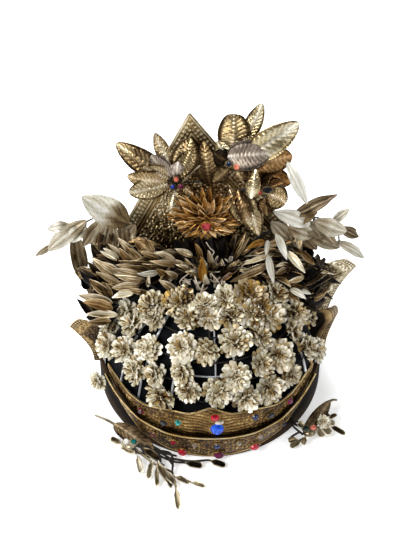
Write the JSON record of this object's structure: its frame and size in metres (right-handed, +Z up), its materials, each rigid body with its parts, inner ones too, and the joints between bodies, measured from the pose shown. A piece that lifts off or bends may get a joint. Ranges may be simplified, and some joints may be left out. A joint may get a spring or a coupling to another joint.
{
  "type": "wedding headdress",
  "caption": "Wedding headdress: dark cloth cap on a leather rim, dressed with gilt flowers, leaf sprays, a tall embossed crown plate, jewelled diadems and ear pendants.",
  "frame": {"origin": "middle of the bounding box's bottom face, on the surface that the rim stands on", "axes": "+Z up, -Y the wearer's front, +X the wearer's left"},
  "size_m": [0.252, 0.249, 0.2194],
  "materials": {
    "cap_cloth": "matt blue-black cloth",
    "rim_leather": "worn dark brown leather",
    "pale_wire": "dull silvered wire",
    "flower_gilt": "pale gilt sheet",
    "diadem_gilt": "antique gold, embossed",
    "plate_gilt": "brown gold, embossed",
    "leaf_gilt": "veined olive brass sheet",
    "amber_gilt": "amber lacquered petals",
    "spray_bronze": "taupe bronze leaves",
    "pale_leaf": "pale silvered leaves",
    "pendant_gilt": "tarnished gilt",
    "stone_red": "cut red glass",
    "stone_blue": "cut blue glass",
    "stone_teal": "cut teal glass",
    "stone_black": "polished black glass",
    "stone_garnet": "cut garnet glass",
    "stone_navy": "cut navy glass",
    "stone_purple": "cut purple glass",
    "stone_pale": "pearly bead",
    "stone_smoky": "smoky glass",
    "stone_coral": "polished coral colour",
    "stone_green": "dark green glass"
  },
  "bodies": {
    "root": {"cap_shell": "cap_cloth", "rim_band": "rim_leather", "flower_lattice": "pale_wire", "flower_row_1": "flower_gilt", "flower_row_2": "flower_gilt", "flower_row_3": "flower_gilt", "flower_row_4": "flower_gilt", "flower_row_5": "flower_gilt", "side_flower": "flower_gilt", "diadem_lower": "diadem_gilt", "diadem_upper": "diadem_gilt", "stone_upper_red": "stone_red", "stone_upper_blue": "stone_blue", "stone_upper_teal": "stone_teal", "stone_upper_black_left": "stone_black", "stone_upper_garnet": "stone_garnet", "stone_upper_navy": "stone_navy", "stone_upper_black_right": "stone_black", "stone_upper_purple": "stone_purple", "stone_lower_garnet": "stone_garnet", "stone_lower_rose": "stone_red", "stone_lower_pearl": "stone_pale", "stone_lower_navy": "stone_navy", "stone_lower_crystal": "stone_pale", "stone_lower_smoky": "stone_smoky", "stone_lower_black": "stone_black", "drop_red_left": "stone_red", "drop_purple": "stone_purple", "drop_red_right": "stone_red", "crown_plate": "plate_gilt", "rosette_left": "leaf_gilt", "rosette_right": "leaf_gilt", "rosette_low": "leaf_gilt", "rosette_left_coral": "stone_coral", "rosette_left_blue": "stone_blue", "rosette_left_purple": "stone_purple", "rosette_right_coral": "stone_coral", "rosette_right_navy": "stone_navy", "rosette_low_bead": "stone_navy", "rosette_low_coral": "stone_coral", "chrysanthemum": "amber_gilt", "chrysanthemum_stone": "stone_red", "leaf_spray_left": "spray_bronze", "leaf_spray_right": "spray_bronze", "leaf_spray_centre": "spray_bronze", "outer_leaves_left": "pale_leaf", "outer_leaves_right": "pale_leaf", "wing_upper_right": "plate_gilt", "wing_lower_right": "plate_gilt", "wing_upper_left": "plate_gilt", "wing_lower_left": "plate_gilt", "ear_pendant_left": "pendant_gilt", "ear_pendant_right": "pendant_gilt", "pendant_left_bead": "stone_pale", "pendant_left_teal": "stone_teal", "pendant_right_coral": "stone_coral", "pendant_right_green": "stone_green"}
  },
  "joints": []
}
